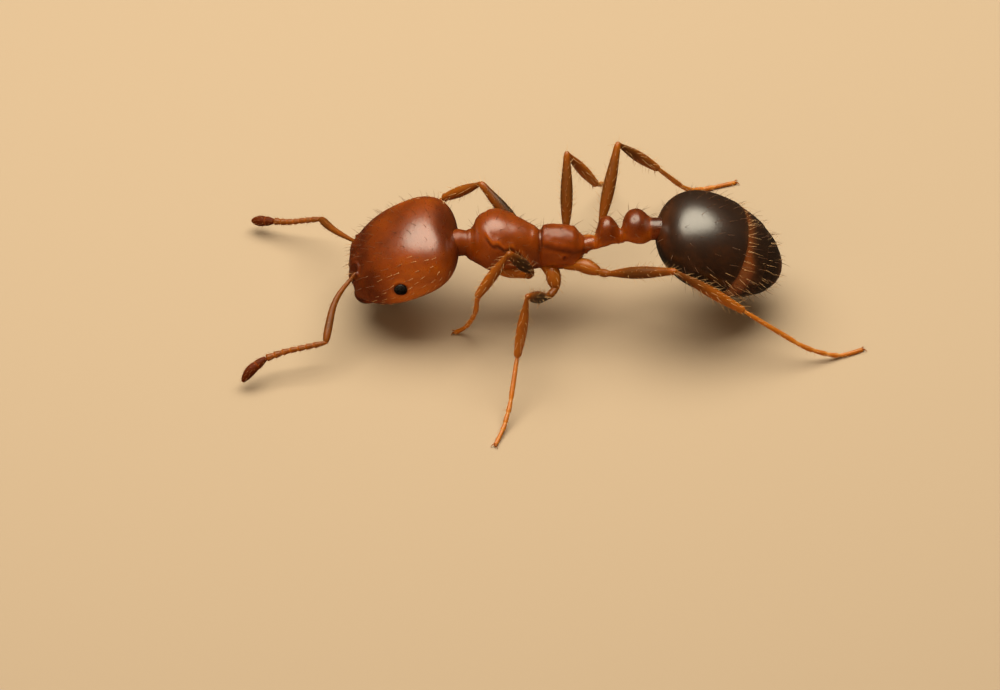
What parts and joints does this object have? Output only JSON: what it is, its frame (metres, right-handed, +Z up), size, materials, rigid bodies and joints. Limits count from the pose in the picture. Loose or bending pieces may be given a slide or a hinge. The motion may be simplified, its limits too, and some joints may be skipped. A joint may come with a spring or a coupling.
{
  "type": "fire ant model",
  "caption": "Life-size still model of a worker fire ant, head low and feelers forward, standing on all its feet.",
  "frame": {"origin": "centre of the base of the model's box, on the floor between the feet", "axes": "+Z up; the head points to -Y and the ant's left side is towards +X"},
  "size_m": [0.0036, 0.0056, 0.0012],
  "materials": {
    "body_shell": "clear glossy amber-red shell, painted cast resin in a museum model",
    "gaster_shell": "glossy brown-black shell with an orange-brown band",
    "limb_shell": "translucent orange-brown shell, satin",
    "jaw_shell": "dark red-brown shell, satin",
    "eye": "black, finely faceted, glossy"
  },
  "bodies": {
    "root": {"eye_left": "eye", "eye_right": "eye", "gaster_1": "gaster_shell", "gaster_2": "gaster_shell", "gaster_3": "gaster_shell", "gaster_4": "gaster_shell", "head": "body_shell", "left_club": "limb_shell", "left_fore_coxa": "limb_shell", "left_fore_femur": "limb_shell", "left_fore_tarsus": "limb_shell", "left_fore_tibia": "limb_shell", "left_funicle": "limb_shell", "left_hind_coxa": "limb_shell", "left_hind_femur": "limb_shell", "left_hind_tarsus": "limb_shell", "left_hind_tibia": "limb_shell", "left_mid_coxa": "limb_shell", "left_mid_femur": "limb_shell", "left_mid_tarsus": "limb_shell", "left_mid_tibia": "limb_shell", "left_scape": "limb_shell", "mandible_left": "jaw_shell", "mandible_right": "jaw_shell", "neck": "body_shell", "petiole": "body_shell", "postpetiole": "body_shell", "propodeum": "body_shell", "right_club": "limb_shell", "right_fore_coxa": "limb_shell", "right_fore_femur": "limb_shell", "right_fore_tarsus": "limb_shell", "right_fore_tibia": "limb_shell", "right_funicle": "limb_shell", "right_hind_coxa": "limb_shell", "right_hind_femur": "limb_shell", "right_hind_tarsus": "limb_shell", "right_hind_tibia": "limb_shell", "right_mid_coxa": "limb_shell", "right_mid_femur": "limb_shell", "right_mid_tarsus": "limb_shell", "right_mid_tibia": "limb_shell", "right_scape": "limb_shell", "thorax": "body_shell"}
  },
  "joints": []
}
